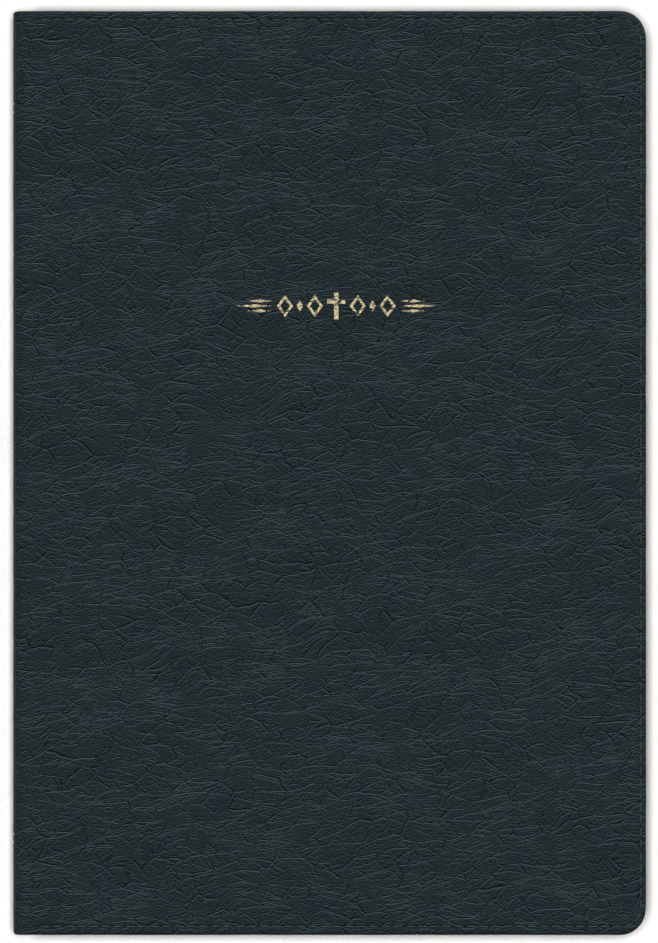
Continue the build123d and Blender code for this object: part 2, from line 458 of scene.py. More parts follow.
# %% The swells, as geometry
def swell(tree, place):
    """The wide relief in mm: low swells, and the soft hollows between the pillows of the grain."""
    wide = node(
        tree,
        "ShaderNodeTexNoise",
        {"Vector": stretched(tree, place, (15, 9, 1), -12), "Scale": 1.0},
        noise_dimensions="2D",
    )
    near = node(
        tree,
        "ShaderNodeTexNoise",
        {"Vector": stretched(tree, place, (6, 3.6, 1), -20), "Scale": 1.0, "Detail": 1.0},
        noise_dimensions="2D",
    )
    lifted = node(tree, "ShaderNodeMath", wide, 0.16, -0.08, operation="MULTIPLY_ADD")
    return node(
        tree,
        "ShaderNodeMath",
        node(tree, "ShaderNodeMath", near, 0.5, operation="SUBTRACT"),
        0.08,
        lifted,
        operation="MULTIPLY_ADD",
    )


def raise_swells(piece):
    """Moves every point along its normal by the swell."""
    tree = bpy.data.node_groups.new("leather swell", "GeometryNodeTree")
    tree.interface.new_socket("Geometry", in_out="INPUT", socket_type="NodeSocketGeometry")
    tree.interface.new_socket("Geometry", in_out="OUTPUT", socket_type="NodeSocketGeometry")
    start = node(tree, "NodeGroupInput")
    place = node(
        tree,
        "GeometryNodeInputNamedAttribute",
        {"Name": "sheet_place"},
        out="Attribute",
        data_type="FLOAT_VECTOR",
    )
    counted = node(
        tree, "ShaderNodeVectorMath", {0: place, "Scale": 1 / MM}, out="Vector", operation="SCALE"
    )
    height = node(tree, "ShaderNodeMath", swell(tree, counted), MM, operation="MULTIPLY")
    normal = node(tree, "GeometryNodeInputNormal")
    offset = node(
        tree, "ShaderNodeVectorMath", {0: normal, "Scale": height}, out="Vector", operation="SCALE"
    )
    moved = node(tree, "GeometryNodeSetPosition", {"Geometry": start, "Offset": offset})
    node(tree, "NodeGroupOutput", moved, out=None)
    piece.modifiers.new("swell", "NODES").node_group = tree
    apply_modifiers(piece)


# %% The grain, as bump and colour
def drifted(tree, place, size, reach, detail):
    """Coordinates pushed about by noise of a size in mm, by up to a reach in mm along each axis."""
    push = node(
        tree,
        "ShaderNodeTexNoise",
        {"Vector": stretched(tree, place, size), "Scale": 1.0, "Detail": detail},
        out="Color",
        noise_dimensions="2D",
    )
    level = node(tree, "ShaderNodeVectorMath", push, (0.5,) * 3, out="Vector", operation="SUBTRACT")
    moved = node(
        tree,
        "ShaderNodeVectorMath",
        level,
        (2 * reach[0], 2 * reach[1], 0),
        place,
        out="Vector",
        operation="MULTIPLY_ADD",
    )
    return moved


def grain(tree, place):
    """The fine relief of the leather in mm, and how deep in a crease a point lies, from 0 to 1."""
    bent = drifted(tree, place, (24, 18, 1), (6, 5), 1.0)
    wavy = drifted(tree, bent, (3.2, 2.0, 1), (0.6, 0.32), 2.0)

    def net(size, turn, width):
        """A net of creases round pillows of a size in mm: 1 in a crease, and 0 outside it."""
        edges = node(
            tree,
            "ShaderNodeTexVoronoi",
            {"Vector": stretched(tree, wavy, size, turn), "Scale": 1.0},
            out="Distance",
            voronoi_dimensions="2D",
            feature="DISTANCE_TO_EDGE",
        )
        return node(
            tree,
            "ShaderNodeMath",
            1.0,
            node(tree, "ShaderNodeMapRange", edges, 0.0, width, interpolation_type="SMOOTHSTEP"),
            operation="SUBTRACT",
        )

    def faded(lines, size, low, high, least=0.0):
        """Lets the creases fade away in patches of a size in mm."""
        patch = node(
            tree,
            "ShaderNodeMapRange",
            node(
                tree,
                "ShaderNodeTexNoise",
                {"Vector": stretched(tree, place, size, 10), "Scale": 1.0, "Detail": 1.0},
                noise_dimensions="2D",
            ),
            low,
            high,
            interpolation_type="SMOOTHSTEP",
        )
        return node(
            tree,
            "ShaderNodeMath",
            lines,
            node(tree, "ShaderNodeMath", patch, 1 - least, least, operation="MULTIPLY_ADD"),
            operation="MULTIPLY",
        )

    long_creases = faded(net((10.5, 3.9, 1), -16, 0.05), (9, 6, 1), 0.36, 0.54)
    crossing = faded(net((8.0, 2.9, 1), 3, 0.062), (8, 5, 1), 0.38, 0.56)
    pillows = faded(net((2.6, 1.15, 1), -10, 0.15), (5, 4, 1), 0.34, 0.60, 0.3)
    pebble = node(
        tree,
        "ShaderNodeTexNoise",
        {"Vector": stretched(tree, place, (0.62, 0.31, 1), -8), "Scale": 1.0, "Detail": 1.0},
        noise_dimensions="2D",
    )

    crease = node(
        tree,
        "ShaderNodeMath",
        long_creases,
        node(tree, "ShaderNodeMath", crossing, 0.85, operation="MULTIPLY"),
        operation="MAXIMUM",
    )
    crease = node(
        tree,
        "ShaderNodeMath",
        crease,
        node(tree, "ShaderNodeMath", pillows, 0.5, operation="MULTIPLY"),
        operation="MAXIMUM",
    )
    lifted = node(
        tree,
        "ShaderNodeMath",
        node(tree, "ShaderNodeMath", pebble, 0.5, operation="SUBTRACT"),
        0.09,
        operation="MULTIPLY",
    )
    return node(tree, "ShaderNodeMath", crease, -0.115, lifted, operation="MULTIPLY_ADD"), crease


# %% Bonded leather
def leather_shade(tree, shader, place):
    """Sets a shader up as dyed bonded leather, and gives back the crease depth and the bumped normal. The
    dye is a near-black blue green with faint navy clouds. Painted shade darkens it down in the creases and
    on the crease walls that face away from the head, and a painted highlight lightens the walls that face
    the head, where the raking lamp falls. The polyurethane coat over it has a soft, low gloss."""
    height, crease = grain(tree, place)
    normal = node(tree, "ShaderNodeBump", {"Height": height, "Distance": MM})
    cloud = node(
        tree,
        "ShaderNodeTexNoise",
        {"Vector": stretched(tree, place, (11, 8, 1), 20), "Scale": 1.0, "Detail": 3.0, "Roughness": 0.6},
        noise_dimensions="2D",
    )
    dye = node(tree, "ShaderNodeValToRGB", cloud, stops=[(0.44, "#1F282A"), (0.64, "#1F272C")])
    # Painted highlight and shade: the bump's tilt towards the head lightens the dye, and its tilt away
    # darkens it.
    level = node(tree, "ShaderNodeNewGeometry", out="Normal")
    tilt = node(tree, "ShaderNodeVectorMath", normal, level, out="Vector", operation="SUBTRACT")
    facing = node(tree, "ShaderNodeVectorMath", tilt, (0, 1, 0), out="Value", operation="DOT_PRODUCT")
    painted_light_and_shade = node(tree, "ShaderNodeMath", facing, 5.6, 1.0, operation="MULTIPLY_ADD")
    # Painted shade in the creases, never darker than 0.4 of the dye.
    kept_share_and_painted_shade = node(
        tree,
        "ShaderNodeMath",
        node(tree, "ShaderNodeMath", crease, -0.2, painted_light_and_shade, operation="MULTIPLY_ADD"),
        0.4,
        operation="MAXIMUM",
    )
    wear_and_painted_shade = node(tree, "ShaderNodeVectorMath", {0: dye, "Scale": kept_share_and_painted_shade}, out="Vector", operation="SCALE")
    tree.links.new(wear_and_painted_shade, shader.inputs["Base Color"])
    gloss = node(tree, "ShaderNodeMath", cloud, 0.16, 0.42, operation="MULTIPLY_ADD")
    tree.links.new(
        node(tree, "ShaderNodeMath", crease, 0.12, gloss, operation="MULTIPLY_ADD"),
        shader.inputs["Roughness"],
    )
    tree.links.new(normal, shader.inputs["Normal"])
    shader.inputs["IOR"].default_value = 1.5
    shader.inputs["Specular IOR Level"].default_value = 0.04
    return crease, normal


def make_leather():
    """The leather alone, drawn on the developed sheet so that its grain runs on from piece to piece."""
    material, tree, shader = new_material("bonded leather")
    leather_shade(tree, shader, coordinates(tree, "sheet_place"))
    return material


bonded_leather = make_leather()
print("bonded leather:", len(bonded_leather.node_tree.nodes), "nodes")

# %% [markdown]
# ## The front cover's leather
#
# A binder pares the skin thin at its edges, glues it over a board, and turns the margins in over the
# board's edges. So the piece starts as the flat field, a fine grid whose two corners at the fore edge are
# rounded. Its left side is extruded past the board, where the skin alone is the hinge. Then its rim is
# extruded again and again: down into the stitched groove and up again, over the rounded edge, and back
# under the board as the turn-in, which is pleated where it rounds a corner.


# %% The flat field of the cover
def rounded(point_x, point_y, corner_y):
    """Brings the square corner of a grid onto circles round the core's corner."""
    across, along = point_x - core_x, np.abs(point_y - corner_y)
    outside = (across > 0) & ((point_y - corner_y) * np.sign(corner_y) > 0)
    longest = np.maximum(np.abs(across), along)
    share = np.where(outside, longest / np.maximum(np.hypot(across, along), 1e-9), 1)
    new_x = np.where(outside, core_x + across * share, point_x)
    new_y = np.where(outside, corner_y + (point_y - corner_y) * share, point_y)
    return new_x, new_y


def cover_field(groove_lip):
    """A grid from the board's edge to the near lip of the groove."""
    left, right = board_low.x, core_x + groove_lip
    bottom, top = core_tail - groove_lip, core_head + groove_lip
    columns, rows = round((right - left) / mesh_step), round((top - bottom) / mesh_step)
    bpy.ops.mesh.primitive_grid_add(x_subdivisions=columns, y_subdivisions=rows, size=1)
    field = bpy.context.object
    width, height = right - left, top - bottom

    def place(x, y, z):
        x, y = left + (x + 0.5) * width, bottom + (y + 0.5) * height
        x, y = rounded(x, y, core_head)
        x, y = rounded(x, y, core_tail)
        return x, y, np.full_like(z, top_z)

    move_all(field, place)
    return field


# %% The rim of the cover, loop by loop
groove_half = 0.5 * MM
groove_depth = 0.22 * MM
edge_roll = 0.9 * MM
bottom_roll = 0.7 * MM
inner_corner = 3.4 * MM


def nearest(point, left, right, low, high, corner=0.0):
    """The nearest place to a point in a rectangle, whose corners may be rounded."""
    low, high, right = low + corner, high - corner, right - corner
    core = Vector((min(max(point.x, left), right), min(max(point.y, low), high), point.z))
    return core + (point - core).normalized() * min(corner, (point - core).length)


def outward(point):
    """The direction from the core to a point on an outline round it."""
    core = nearest(point, -1, core_x, core_tail, core_head)
    return core, (point - core).normalized()


def cover_reach(away):
    """How far the cover's edge is from the core in a direction: the margin outside the stitches differs at
    the head, the fore edge and the tail."""
    margin = stitch_from_head if away.y > 0 else stitch_from_tail
    return stitch_corner + stitch_from_fore * away.x**2 + margin * away.y**2


def rim_loops():
    """The section of the rim from the field to the underside. Each loop is a share from the groove's outer
    lip to the edge, a distance from the line of the stitches or from the edge, and a depth under the
    top."""
    loops = []
    for step in range(1, 9):
        turn = math.pi * step / 4 - math.pi
        across = groove_half * (step / 4 - 1)
        loops.append(("groove", across, groove_depth * (1 + math.cos(turn)) / 2))
    for step in range(1, 7):
        turn = math.radians(15 * step)
        loops.append(("edge", edge_roll * (1 - math.sin(turn)), edge_roll * (1 - math.cos(turn))))
    loops.append(("edge", -0.03 * MM, (edge_roll + cover_depth - bottom_roll) / 2))
    for step in range(5):
        turn = math.radians(22.5 * step)
        depth = cover_depth - bottom_roll * (1 - math.sin(turn))
        loops.append(("edge", bottom_roll * (1 - math.cos(turn)), depth))
    return loops


def rim_place(point, kind, across, depth):
    core, away = outward(point)
    reach = cover_reach(away)
    if kind == "groove":
        distance = stitch_corner + across
        depth *= float(easing(point.x, joint_x, joint_x + 3 * MM))
    else:
        room = reach - stitch_corner - groove_half
        distance = reach - across * min(1, room / edge_roll)
    placed = core + away * distance
    placed.z = top_z - depth
    return placed


# %% Extrude the field into the whole skin
def flat_cover():
    """The leather of the front cover before its joint is bent: every part of it is square to the board."""
    field = cover_field(stitch_corner - groove_half)
    left = board_low.x
    hinge_columns = 14
    hinge_step = (left - seam_x) / hinge_columns
    count = pick(field, "EDGE", lambda x, y, z: x < left + 0.01 * MM, rim=True)
    for _ in range(hinge_columns):
        bpy.ops.mesh.extrude_edges_move()
        move_selected(field, lambda point: point - Vector((hinge_step, 0, 0)))
    print(f"{count} rows, {hinge_columns} columns of {hinge_step / MM:.2f} mm in the hinge")

    pick(field, "EDGE", lambda x, y, z: x > seam_x + 0.01 * MM, rim=True)
    for kind, across, depth in rim_loops():
        bpy.ops.mesh.extrude_edges_move()
        move_selected(field, lambda point: rim_place(point, kind, across, depth))

    inner = (-1, fore_x - turn_in, -head_y + turn_in, head_y - turn_in, inner_corner)
    for share in (0.05, 0.08, 0.25, 0.5, 0.96, 1.0):
        bpy.ops.mesh.extrude_edges_move()
        move_selected(field, lambda point: point.lerp(nearest(point, *inner), share))
    return field


# %% The corners, the joint and the ends of the skin
def pleated(x, y, z):
    """Gathers the turn-in into small pleats where it rounds the two corners of the fore edge."""
    across = x - (fore_x - turn_in)
    along = np.abs(y) - (head_y - turn_in)
    inside = (across > 0) & (along > 0) & (z < leather_low.z + 0.2 * MM)
    reach = np.hypot(across, along) / turn_in
    pleats = 7
    fold = np.abs(np.sin(pleats * np.arctan2(along, across)))
    fold = fold * np.clip(reach, 0, 1) * np.clip(2.2 - 2 * reach, 0, 1)
    return x, y, np.where(inside, z - 0.22 * MM * fold, z)


def thinned(x, y, z):
    """Past the board the turn-in lies on the back of the skin, so the cover thins to the skin alone."""
    past = easing(x, board_low.x - 0.05 * MM, board_low.x - 0.9 * MM)
    return x, y, top_z - (top_z - z) * (1 - past * (1 - skin / cover_depth))


shoulder_turn = math.atan2(spine_x + spine_radius - arc_x, arc_z - middle_z)
half_travel = shoulder * shoulder_turn + spine_radius * (math.pi / 2 - shoulder_turn)


def bent_round_spine(x, y, z):
    """Bends a flat skin. What lies left of the shoulder's centre goes round the shoulder, down the rounded
    back, and round the other shoulder. A depth under the top stays a depth under the surface."""
    travel, depth = arc_x - x, top_z - z
    near = np.minimum(travel, 2 * half_travel - travel)
    on_back = near > shoulder * shoulder_turn
    radius = np.where(on_back, spine_radius, shoulder)
    back_turn = shoulder_turn + (near - shoulder * shoulder_turn) / spine_radius
    turn = np.where(on_back, back_turn, near / shoulder)
    bent_x = np.where(on_back, spine_x + spine_radius, arc_x) - (radius - depth) * np.sin(turn)
    bent_z = np.where(on_back, middle_z, arc_z) + (radius - depth) * np.cos(turn)
    bent_z = np.where(travel > half_travel, 2 * middle_z - bent_z, bent_z)
    return np.where(travel > 0, bent_x, x), y, np.where(travel > 0, bent_z, z)


def close_inside(piece, left, right, low_z):
    """Joins the turn-ins of head and tail by a plain wall on the inside, between two places across."""
    edge_y = head_y - turn_in + 0.01 * MM
    pick(piece, "EDGE", lambda x, y, z: (x > left) & (x < right) & (abs(y) < edge_y) & (z < low_z), rim=True)
    bpy.ops.mesh.bridge_edge_loops()


def close_ends(piece):
    """Fills the open ends of the skin, where the next piece of leather carries on."""
    pick(piece, "EDGE", lambda x, y, z: x < board_low.x - 1 * MM, rim=True)
    bpy.ops.mesh.edge_face_add()
    bpy.ops.object.mode_set(mode="OBJECT")


# %% The leather of both covers
front_leather = flat_cover()
close_inside(front_leather, seam_x + 0.01 * MM, board_low.x, leather_low.z + 0.1 * MM)
inner_edge = (fore_x - turn_in + 0.01 * MM, head_y - turn_in + 0.01 * MM)
pick(
    front_leather,
    "EDGE",
    lambda x, y, z: (x > board_low.x) & (x < inner_edge[0]) & (abs(y) < inner_edge[1]) & (z < board_low.z),
    rim=True,
)
bpy.ops.mesh.extrude_edges_move(TRANSFORM_OT_translate={"value": (0, 0, board_low.z - leather_low.z)})
for rule in (pleated, thinned, bent_round_spine):
    move_all(front_leather, rule)
clean(front_leather)
front_leather.name = "front_leather"

back_leather = copy_of(front_leather, "back_leather")
move_all(back_leather, lambda x, y, z: (x, y, top_z - z))
pick(back_leather, "FACE", lambda x, y, z: x > -np.inf)
bpy.ops.mesh.flip_normals()

for piece in (front_leather, back_leather):
    store_sheet_place(piece)
    raise_swells(piece)
    close_ends(piece)
    smooth(piece, 50)
    piece.data.materials.append(bonded_leather)
    print(piece.name, len(piece.data.polygons), "faces")

# %% [markdown]
# ## The spine's leather
#
# The same skin runs on over the spine. It is laid out flat as a grid, rolled over at head and tail round
# the thickness of the leather, turned in, and then bent round the shoulders and the slightly rounded back
# by the same rule as the covers' joints, so the three pieces meet without a step.


# %% The spine, flat and then bent
def pared(x, y, z):
    """Thins the leather from the inside along the line down the middle where it folds."""
    share = easing(abs(x - (arc_x - half_travel)), 1.6 * MM, 0.7 * MM)
    return x, y, top_z - (top_z - z) * (1 - 0.72 * share)


def make_spine_leather():
    left = arc_x - (2 * half_travel - (arc_x - seam_x))
    roll = skin / 2
    length = 2 * (head_y - roll)
    columns, rows = round((seam_x - left) / (mesh_step / 2)), round(length / mesh_step)
    bpy.ops.mesh.primitive_grid_add(x_subdivisions=columns, y_subdivisions=rows, size=1)
    spine = bpy.context.object
    spine.name = "spine_leather"
    width = seam_x - left
    move_all(spine, lambda x, y, z: (left + (x + 0.5) * width, y * length, np.full_like(z, top_z)))
    for side in (-1, 1):
        rim_y = side * length / 2
        pick(spine, "EDGE", lambda x, y, z: abs(y - rim_y) < 0.01 * MM, rim=True)
        for step in range(1, 7):
            turn = math.pi * step / 6
            bpy.ops.mesh.extrude_edges_move()
            y, z = side * (length / 2 + roll * math.sin(turn)), top_z - roll * (1 - math.cos(turn))
            move_selected(spine, lambda point: Vector((point.x, y, z)))
        for share in (0.3, 0.95, 1.0):
            inner_y = side * (head_y - roll - (turn_in - roll) * share)
            bpy.ops.mesh.extrude_edges_move()
            move_selected(spine, lambda point: Vector((point.x, inner_y, point.z)))
    close_inside(spine, left + 0.01 * MM, seam_x - 0.01 * MM, top_z - 0.5 * skin)
    move_all(spine, pared)
    move_all(spine, bent_round_spine)
    clean(spine)
    store_sheet_place(spine)
    raise_swells(spine)
    smooth(spine, 50)
    spine.data.materials.append(bonded_leather)
    print(f"spine: {columns} columns of {width / columns / MM:.2f} mm, {len(spine.data.polygons)} faces")
    return spine


spine_leather = make_spine_leather()

# %% [markdown]
# ## Saddle stitching
#
# A lockstitch in heavy bonded thread runs in the groove along the head, the fore edge and the tail, eight
# stitches to the inch, and shows on the outside and on the turn-in. One stitch is a cylinder with a few
# rings, shaped so that its two plies twist round each other and its ends dive into their holes. Copies of
# it walk round the groove, each a little different, as no two stitches are pulled equally tight.

# %% One stitch, and rows of it
stitch_pitch = 25.4 / 8 * MM
thread_radius = 0.19 * MM
hole_depth = 0.5 * MM
stitch_share = 0.92


def make_stitch():
    bpy.ops.mesh.primitive_cylinder_add(vertices=10, radius=1, depth=1, end_fill_type="TRIFAN")
    stitch = bpy.context.object
    pick(stitch, "EDGE", lambda x, y, z: abs(z) < 0.01)
    bpy.ops.mesh.subdivide(number_cuts=9)

    def twisted(x, y, z):
        around, share = np.arctan2(y, x), abs(2 * z)
        plies = 1 + 0.14 * np.cos(2 * around - 4.4 * math.pi * z)
        reach = thread_radius * np.hypot(x, y) * plies * (1 - 0.35 * share**6)
        along = stitch_share * stitch_pitch * z
        return along, reach * np.cos(around), reach * np.sin(around) - hole_depth * share**5

    move_all(stitch, twisted)
    return stitch


def stitch_path():
    """The line of the stitches as a function from a distance to a place and a heading, and its length."""
    side = core_x - (joint_x + stitch_pitch)
    corner = stitch_corner * math.pi / 2
    fore = core_head - core_tail

    def place(distance):
        if distance < side:
            return core_x - side + distance, core_head + stitch_corner, 0.0
        distance -= side
        if distance < corner:
            turn = distance / stitch_corner
            return core_x + stitch_corner * math.sin(turn), core_head + stitch_corner * math.cos(turn), -turn
        distance -= corner
        if distance < fore:
            return core_x + stitch_corner, core_head - distance, -math.pi / 2
        distance -= fore
        if distance < corner:
            turn = distance / stitch_corner
            x, y = core_x + stitch_corner * math.cos(turn), core_tail - stitch_corner * math.sin(turn)
            return x, y, -math.pi / 2 - turn
        return core_x - (distance - corner), core_tail - stitch_corner, -math.pi

    return place, 2 * side + 2 * corner + fore


def stitch_row(stitch, height, facing, dice):
    """A row of stitches at a height, facing up or down."""
    place, length = stitch_path()
    count = round(length / stitch_pitch)
    row = []
    for number in range(count):
        x, y, heading = place((number + 0.5) * length / count)
        one = copy_of(stitch, "stitch")
        turned = Matrix.Rotation(heading + dice.normal(0, 0.02), 4, "Z")
        rolled = Matrix.Rotation(dice.normal(0, 0.12) + (0 if facing > 0 else math.pi), 4, "X")
        slack = Matrix.Diagonal((1 + dice.normal(0, 0.02), 1, 1, 1))
        spot = Matrix.Translation((x, y, height + dice.normal(0, 0.02) * MM))
        one.data.transform(spot @ turned @ rolled @ slack)
        row.append(one)
    return row


# %% Stitching on both covers
def make_thread_material():
    """Bonded nylon thread: almost the leather's own colour, but paler and with a sheen of its own."""
    material, tree, shader = new_material("bonded nylon thread")
    place = coordinates(tree)
    fibres = node(
        tree,
        "ShaderNodeTexNoise",
        {"Vector": stretched(tree, place, (0.09, 0.09, 0.09)), "Scale": 1.0, "Roughness": 0.6},
    )
    tree.links.new(
        node(tree, "ShaderNodeValToRGB", fibres, stops=[(0.35, "#222A2D"), (0.66, "#4C5558")]),
        shader.inputs["Base Color"],
    )
    tree.links.new(
        node(
            tree,
            "ShaderNodeBump",
            {"Height": node(tree, "ShaderNodeMath", fibres, 0.03, operation="MULTIPLY"), "Distance": MM},
        ),
        shader.inputs["Normal"],
    )
    shader.inputs["Roughness"].default_value = 0.5
    shader.inputs["Specular IOR Level"].default_value = 0.3
    return material


nylon_thread = make_thread_material()
stitch = make_stitch()
dice = np.random.default_rng(8)
outside, inside = top_z - 0.16 * MM, leather_low.z + 0.06 * MM
front_rows = stitch_row(stitch, outside, 1, dice) + stitch_row(stitch, inside, -1, dice)
front_stitching = joined(front_rows, "front_stitching")
back_rows = stitch_row(stitch, top_z - outside, -1, dice) + stitch_row(stitch, top_z - inside, 1, dice)
back_stitching = joined(back_rows, "back_stitching")
bpy.data.objects.remove(stitch)
for piece in (front_stitching, back_stitching):
    smooth(piece, 80)
    piece.data.materials.append(nylon_thread)
    print(piece.name, len(piece.data.polygons), "faces")

# %% [markdown]
# ## Gold foil
#
# Foil is stamped on with a hot die, so it lies a hair above the leather, follows its swells, and breaks
# where a crease was too deep for the die. The ornament on the front cover takes its outline from the CAD
# part. Its top faces are merged and cut into small ones by many bisecting planes, so that they can follow
# the leather. The rules over the spine start as four narrow grids, bent by the same rule as the leather
# under them.


# %% Foil that breaks in the creases
ornament_lift = 0.025 * MM
rule_lift = 0.014 * MM


def make_gold():
    """Gold stamping foil: pale, half-dull metal that is speckled, and that wears through to the leather in
    places."""
    material, tree, shader = new_material("gold stamping foil")
    place = coordinates(tree, "sheet_place")
    leather = tree.nodes.new("ShaderNodeBsdfPrincipled")
    crease, normal = leather_shade(tree, leather, place)
    speckle = node(
        tree,
        "ShaderNodeTexNoise",
        {"Vector": stretched(tree, place, (0.9, 0.6, 1)), "Scale": 1.0, "Detail": 3.0, "Roughness": 0.7},
        noise_dimensions="2D",
    )
    tree.links.new(
        node(
            tree,
            "ShaderNodeValToRGB",
            speckle,
            stops=[(0.3, "#7E724C"), (0.46, "#B9A877"), (0.62, "#E6DBBB")],
        ),
        shader.inputs["Base Color"],
    )
    shader.inputs["Metallic"].default_value = 0.55
    shader.inputs["Roughness"].default_value = 0.42
    tree.links.new(normal, shader.inputs["Normal"])
    wear_and_painted_shade = node(
        tree,
        "ShaderNodeMath",
        crease,
        0.55,
        node(tree, "ShaderNodeMath", 0.85, speckle, operation="SUBTRACT"),
        operation="MULTIPLY_ADD",
    )
    kept_share_and_painted_shade = node(
        tree,
        "ShaderNodeMath",
        1.0,
        node(tree, "ShaderNodeMapRange", wear_and_painted_shade, 0.6, 0.72, interpolation_type="SMOOTHSTEP"),
        operation="SUBTRACT",
    )
    mixed = node(tree, "ShaderNodeMixShader", kept_share_and_painted_shade, leather.outputs[0], shader.outputs[0])
    tree.links.new(mixed, tree.nodes["Material Output"].inputs["Surface"])
    return material


gold_foil = make_gold()


def stamped(foil):
    """Lays foil on the leather, raised with its swells."""
    clean(foil)
    store_sheet_place(foil)
    raise_swells(foil)
    smooth(foil, 30)
    foil.data.materials.clear()
    foil.data.materials.append(gold_foil)
    print(foil.name, len(foil.data.polygons), "faces")


# %% The ornament
def make_ornament():
    ornament = copy_of(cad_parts["front_cover_ornament"], "cover_ornament")
    ornament.parent = None
    pick(ornament, "FACE", lambda x, y, z: z < top_z - 0.001 * MM)
    bpy.ops.mesh.delete(type="FACE")
    clean(ornament)
    pick(ornament, "FACE", lambda x, y, z: x > -np.inf)
    bpy.ops.mesh.dissolve_limited(angle_limit=0.01)
    low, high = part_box("front_cover_ornament")
    cuts = [(0, place) for place in np.arange(low.x + 1 * MM, high.x, 1.3 * MM)]
    cuts += [(1, place) for place in np.arange(low.y + 0.7 * MM, high.y, 1.3 * MM)]
    for axis, place in cuts:
        point, across = Vector((0, 0, 0)), Vector((0, 0, 0))
        point[axis], across[axis] = place, 1
        bpy.ops.mesh.select_all(action="SELECT")
        bpy.ops.mesh.bisect(plane_co=point, plane_no=across)
    bpy.ops.object.mode_set(mode="OBJECT")
    move_all(ornament, lambda x, y, z: (x, y, z + ornament_lift))
    stamped(ornament)
    return ornament


cover_ornament = make_ornament()

# %% The rules over the spine
def make_spine_foil():
    _, rules_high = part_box("front_spine_rules")
    outer_y, rule_width, rule_spacing = rules_high.y, 0.7 * MM, 2.2 * MM
    travel = rules_high.z - middle_z
    middle_x = arc_x - half_travel
    rules = []
    for rule_y in (outer_y - rule_width / 2, outer_y - rule_width / 2 - rule_spacing):
        for side in (-1, 1):
            bpy.ops.mesh.primitive_grid_add(x_subdivisions=72, y_subdivisions=2, size=1)
            rule = bpy.context.object
            centre = side * rule_y
            move_all(
                rule,
                lambda x, y, z: (
                    middle_x + 2 * travel * x,
                    centre + rule_width * y,
                    np.full_like(z, top_z + rule_lift),
                ),
            )
            rules.append(rule)
    foil = joined(rules, "spine_foil")
    move_all(foil, bent_round_spine)
    stamped(foil)
    return foil


spine_foil = make_spine_foil()

# %% [markdown]
# ## Head and tail bands
#
# At each end of the spine a band of two silks, wound round a cord core in turns, hides the glued folds of
# the sections. The book opens in the middle of it, so each half of the block has its own half band. It is
# a tube with a ring of vertices for every fifth of a turn, swollen where the silk lies and pinched between
# the turns.

# %% A wound band
silk_turn = 0.62 * MM
band_from_back = 1.95 * MM
band_half_width = 0.82 * MM
band_half_height = 0.93 * MM
band_low, band_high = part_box("front_headband")


def make_band(name, end, half):
    """A half band at the head (1) or the tail (-1), in the front half (1) or the back half (-1)."""
    first, last = band_low.z - middle_z, band_high.z - middle_z
    turns = (last - first) / silk_turn
    bpy.ops.mesh.primitive_cylinder_add(vertices=14, radius=1, depth=1, end_fill_type="TRIFAN")
    band = bpy.context.object
    pick(band, "EDGE", lambda x, y, z: abs(z) < 0.01)
    bpy.ops.mesh.subdivide(number_cuts=round(turns * 6))

    def wound(x, y, z):
        around, along = np.arctan2(y, x), z + 0.5
        swollen = abs(np.sin(math.pi * (along * turns - around / (2 * math.pi))))
        reach = np.hypot(x, y) * (0.84 + 0.14 * swollen) * (1 - 0.2 * abs(2 * z) ** 24)
        height = first + (last - first) * along
        surface = spine_x + spine_radius - np.sqrt(spine_radius**2 - height**2)
        new_x = surface + band_from_back + band_half_width * reach * np.cos(around)
        new_y = end * ((band_low.y + band_high.y) / 2 + band_half_height * reach * np.sin(around))
        return new_x, new_y, middle_z + half * height

    move_all(band, wound)
    clean(band)
    smooth(band, 60)
    band.name = name
    print(name, f"{turns:.0f} turns,", len(band.data.polygons), "faces")
    return band


def make_silk():
    """Floss silk: three turns of navy and three of gold in turn, with fine fibres and a soft sheen."""
    material, tree, shader = new_material("floss silk")
    place = coordinates(tree)
    height = node(tree, "ShaderNodeSeparateXYZ", place, out="Z")
    turn = node(
        tree,
        "ShaderNodeMath",
        node(tree, "ShaderNodeMath", height, 6 * silk_turn / MM, operation="DIVIDE"),
        operation="FRACT",
    )
    gold = node(tree, "ShaderNodeMath", turn, 0.5, operation="LESS_THAN")
    fibres = node(
        tree,
        "ShaderNodeTexNoise",
        {"Vector": stretched(tree, place, (0.7, 0.7, 0.05)), "Scale": 1.0, "Roughness": 0.6},
    )
    navy_silk = node(tree, "ShaderNodeValToRGB", fibres, stops=[(0.3, "#16203A"), (0.7, "#2A3A60")])
    gold_silk = node(tree, "ShaderNodeValToRGB", fibres, stops=[(0.3, "#A98843"), (0.7, "#D9C07E")])
    mixed = node(tree, "ShaderNodeMix", {0: gold, 6: navy_silk, 7: gold_silk}, out=2, data_type="RGBA")
    tree.links.new(mixed, shader.inputs["Base Color"])
    tree.links.new(
        node(
            tree,
            "ShaderNodeBump",
            {"Height": node(tree, "ShaderNodeMath", fibres, 0.03, operation="MULTIPLY"), "Distance": MM},
        ),
        shader.inputs["Normal"],
    )
    shader.inputs["Roughness"].default_value = 0.45
    shader.inputs["Sheen Weight"].default_value = 0.3
    shader.inputs["Sheen Roughness"].default_value = 0.4
    return material


floss_silk = make_silk()
bands = {}
for end_name, end in (("head", 1), ("tail", -1)):
    for half_name, half in (("front", 1), ("back", -1)):
        band = make_band(f"{half_name}_{end_name}_silk", end, half)
        band.data.materials.append(floss_silk)
        bands[f"{half_name}_{end_name}band"] = (band, f"{half_name}_half")

# %% [markdown]
# ## The ribbon
#
# A satin ribbon marks the page. It is woven ten millimetres wide, glued in at the head of the spine, and cut
# at a slant at its lower end so that it doesn't fray. It is a grid with a little waviness, thickened to both
# sides, and it lies on the right-hand leaf.

# %% A satin ribbon laid on the page
ribbon_low, ribbon_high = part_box("ribbon_marker")
ribbon_wide, ribbon_long = ribbon_high.x - ribbon_low.x, ribbon_high.y - ribbon_low.y
ribbon_lift = 0.13 * MM
wave_height = 0.035 * MM
slant_rise, slant_reach = 5 * MM, 20 * MM


